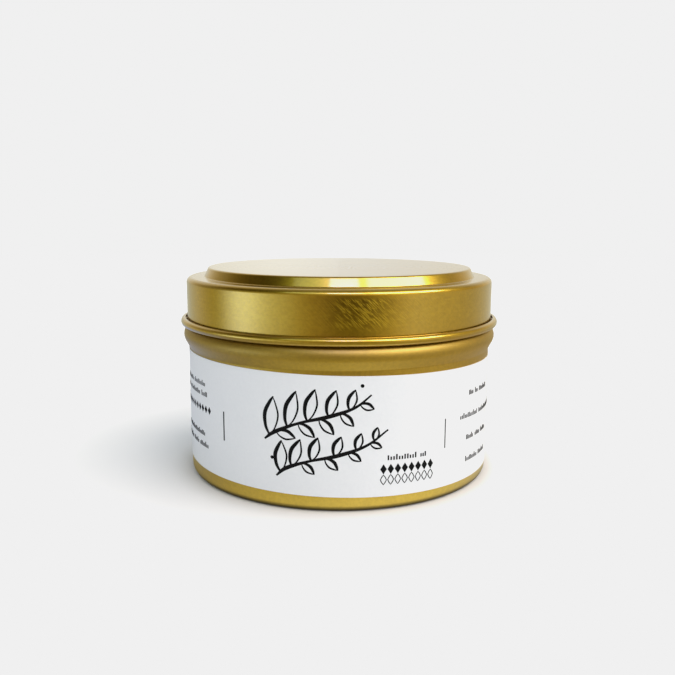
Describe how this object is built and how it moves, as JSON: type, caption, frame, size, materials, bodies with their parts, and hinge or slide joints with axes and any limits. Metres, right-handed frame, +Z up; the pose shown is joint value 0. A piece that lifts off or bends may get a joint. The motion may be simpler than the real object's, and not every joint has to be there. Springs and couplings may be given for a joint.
{
  "type": "candle tin",
  "caption": "Round slip-lid candle tin: drawn metal cup with a rolled bead and rim, hemmed lift-off lid with a raised panel, wrap label without lettering, poured wax and a cored wick.",
  "frame": {"origin": "middle of the face that the tin stands on", "axes": "+Z up along the tin's axis, towards the lid; -Y towards the front of the label"},
  "size_m": [0.0802, 0.0802, 0.051],
  "materials": {
    "gold_tinplate": "satin",
    "label_paper": "matte",
    "soy_wax": "satin",
    "wick_cotton": "matte",
    "core_paper": "matte",
    "tab_steel": "satin",
    "sticker_foam": "matte"
  },
  "bodies": {
    "tin": {"tin_body": "gold_tinplate", "wrap_label": "label_paper", "wax_fill": "soy_wax", "wick_braid": "wick_cotton", "wick_core": "core_paper", "wick_tab": "tab_steel", "wick_sticker": "sticker_foam", "base_label": "label_paper"},
    "lid": {"lid": "gold_tinplate"}
  },
  "joints": [
    {"name": "lid_lift", "type": "slide", "parent": "tin", "child": "lid", "axis": [0, 0, 1], "range_m": [0, 0.045]}
  ]
}
